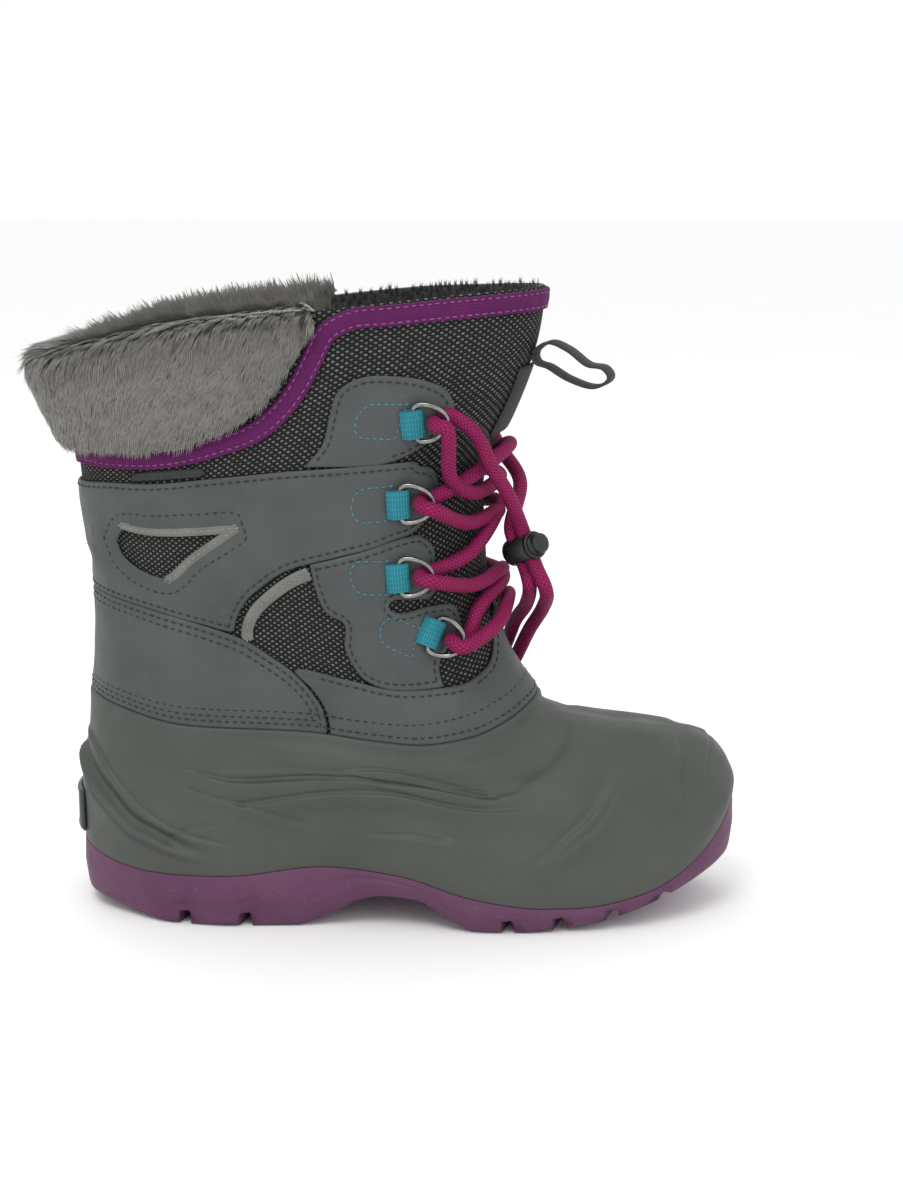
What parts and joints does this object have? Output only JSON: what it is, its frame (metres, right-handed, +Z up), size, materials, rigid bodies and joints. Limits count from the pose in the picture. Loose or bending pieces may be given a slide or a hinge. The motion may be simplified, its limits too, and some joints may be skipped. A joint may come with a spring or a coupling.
{
  "type": "snow boot",
  "caption": "Mid-calf lace-up snow boot with a moulded rubber shell, lugged sole, cloth and leather shaft and a deep fur collar.",
  "frame": {"origin": "on the floor, under the middle of the boot's box without its free lace ends", "axes": "+X to the toe, +Y to the inner side of the right foot, +Z up the shaft"},
  "size_m": [0.276, 0.1065, 0.2423],
  "materials": {
    "sole_rubber": "matt moulded purple rubber",
    "shell_rubber": "satin moulded grey-green rubber",
    "woven_cloth": "coarse woven cloth, dark with light flecks",
    "grey_leather": "smooth grey coated leather",
    "fur": "deep grey pile",
    "binding_tape": "purple woven tape",
    "blue_webbing": "light blue webbing",
    "grey_strap": "dark grey webbing",
    "ring_steel": "polished wire",
    "lace_cord": "braided magenta cord",
    "black_plastic": "matt black moulded plastic",
    "felt": "dark felt"
  },
  "bodies": {
    "root": {"outsole": "sole_rubber", "shell": "shell_rubber", "insole": "felt", "upper": "woven_cloth", "collar_binding": "binding_tape", "fur_collar": "fur", "heel_plate": "black_plastic", "tongue_webbing": "grey_strap", "pull_loop": "grey_strap", "side_tag": "grey_strap", "lace_crossings": "lace_cord", "lace_end_outer": "lace_cord", "lace_end_inner": "lace_cord", "cord_lock": "black_plastic", "lace_clip": "black_plastic", "heel_counter": "grey_leather", "vamp_band": "grey_leather", "quarter": "grey_leather", "low_eyestay_outer": "grey_leather", "low_eyestay_inner": "grey_leather", "top_eyestay_outer": "grey_leather", "top_eyestay_inner": "grey_leather", "webbing_outer_1": "blue_webbing", "d_ring_outer_1": "ring_steel", "webbing_outer_2": "blue_webbing", "d_ring_outer_2": "ring_steel", "webbing_outer_3": "blue_webbing", "d_ring_outer_3": "ring_steel", "webbing_outer_4": "blue_webbing", "d_ring_outer_4": "ring_steel", "webbing_inner_1": "blue_webbing", "d_ring_inner_1": "ring_steel", "webbing_inner_2": "blue_webbing", "d_ring_inner_2": "ring_steel", "webbing_inner_3": "blue_webbing", "d_ring_inner_3": "ring_steel", "webbing_inner_4": "blue_webbing", "d_ring_inner_4": "ring_steel"}
  },
  "joints": []
}
